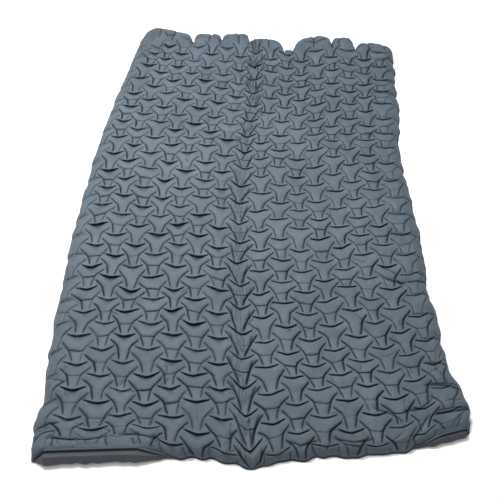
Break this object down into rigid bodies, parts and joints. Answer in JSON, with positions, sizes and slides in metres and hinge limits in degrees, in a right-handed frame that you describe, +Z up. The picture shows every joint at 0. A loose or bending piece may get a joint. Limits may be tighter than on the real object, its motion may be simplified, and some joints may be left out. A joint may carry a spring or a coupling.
{
  "type": "inflatable sleeping pad",
  "caption": "Two-person inflatable camping pad lying slack, quilted with interlocking three-armed cells, with a lengthwise fold and a flat two-way valve in its underside.",
  "frame": {"origin": "on the ground under the middle of the pad", "axes": "+Y along the length towards the head end, +X across to the right seen from the foot end, +Z up"},
  "size_m": [1.3325, 1.91, 0.042],
  "materials": {
    "top_fabric": "fine plain weave, coated inside, slight sheen",
    "bottom_fabric": "fine plain weave, coated inside, matte",
    "valve_plastic": "soft moulded plastic, satin",
    "silicone": "translucent grey silicone, satin"
  },
  "bodies": {
    "right_half": {"right_top_sheet": "top_fabric", "right_bottom_sheet": "bottom_fabric", "fold_band_top_sheet": "top_fabric", "fold_band_bottom_sheet": "bottom_fabric"},
    "left_half": {"left_top_sheet": "top_fabric", "left_bottom_sheet": "bottom_fabric", "valve_patch": "bottom_fabric", "valve_base": "valve_plastic", "plug_tether": "valve_plastic"},
    "deflate_plug": {"deflate_plug": "valve_plastic", "plug_seal_ring": "silicone", "cap_tether": "valve_plastic"},
    "inflate_cap": {"inflate_cap": "valve_plastic"},
    "check_diaphragm": {"check_diaphragm": "silicone"}
  },
  "joints": [
    {"name": "centre_fold", "type": "hinge", "parent": "right_half", "child": "left_half", "pos_m": [-0.01, 0, 0.0455], "axis": [0, 1, 0], "range_deg": [0, 180], "deforming": ["fold_band_top_sheet", "fold_band_bottom_sheet"]},
    {"name": "deflate_plug_flip", "type": "hinge", "parent": "left_half", "child": "deflate_plug", "pos_m": [-0.4, 0.776, 0.00575], "axis": [-1, 0, 0], "range_deg": [0, 110]},
    {"name": "inflate_cap_flip", "type": "hinge", "parent": "deflate_plug", "child": "inflate_cap", "pos_m": [-0.4, 0.82, 0.00355], "axis": [1, 0, 0], "range_deg": [0, 120]},
    {"name": "diaphragm_lift", "type": "slide", "parent": "deflate_plug", "child": "check_diaphragm", "axis": [0, 0, 1], "range_m": [0, 0.0012], "stiffness_N_per_m": 40, "springref_m": -0.0005}
  ]
}
